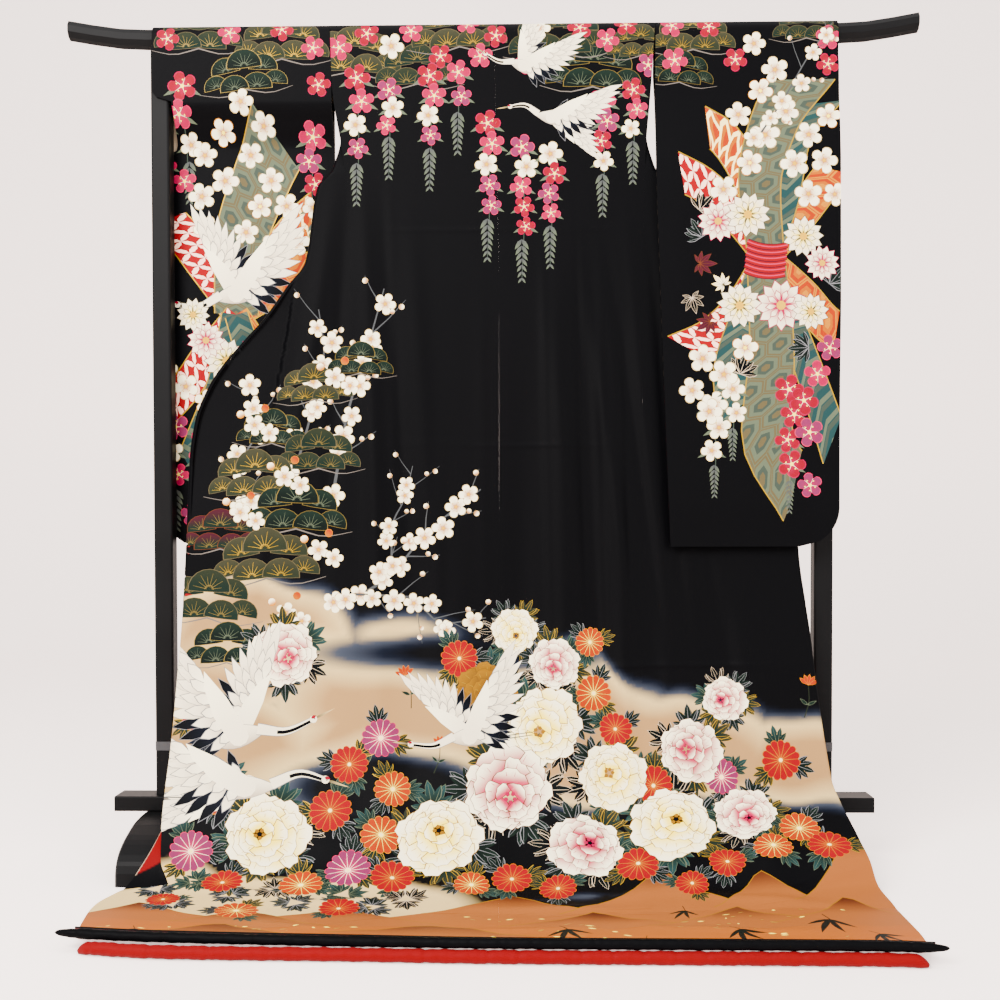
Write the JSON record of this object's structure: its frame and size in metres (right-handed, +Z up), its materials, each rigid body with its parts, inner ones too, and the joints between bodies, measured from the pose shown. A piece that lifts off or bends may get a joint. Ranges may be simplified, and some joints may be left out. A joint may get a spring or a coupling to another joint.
{
  "type": "bridal furisode on a kimono rack",
  "caption": "Long-sleeved black silk bridal kimono spread open over a lacquered rack, back outwards, padded hem forward on the floor.",
  "frame": {"origin": "on the floor below the middle of the whole part's bounding box", "axes": "+Z up, +X to the right along the rack's bar as seen from the side that shows the garment's back, +Y away from that side; the hem lies towards -Y"},
  "size_m": [1.63, 0.8248, 1.6267],
  "materials": {
    "furisode_silk": "satin",
    "hem_padding": "satin",
    "red_silk": "satin",
    "rack_lacquer": "satin",
    "rack_joint": "satin"
  },
  "bodies": {
    "root": {"back_left": "furisode_silk", "back_right": "furisode_silk", "front_left": "furisode_silk", "front_right": "furisode_silk", "overlap_left": "furisode_silk", "overlap_right": "furisode_silk", "turned_edge_left": "furisode_silk", "sleeve_left": "furisode_silk", "sleeve_right": "furisode_silk", "collar_neck": "furisode_silk", "collar_left": "furisode_silk", "collar_right": "furisode_silk", "hem_roll_black": "hem_padding", "hem_roll_red": "red_silk", "rack_bar": "rack_lacquer", "rack_post_lower_left": "rack_lacquer", "rack_post_lower_right": "rack_lacquer", "rack_post_upper_left": "rack_lacquer", "rack_post_upper_right": "rack_lacquer", "rack_joint_left": "rack_joint", "rack_joint_right": "rack_joint", "rack_beam": "rack_lacquer", "rack_foot_left": "rack_lacquer", "rack_foot_right": "rack_lacquer"}
  },
  "joints": []
}
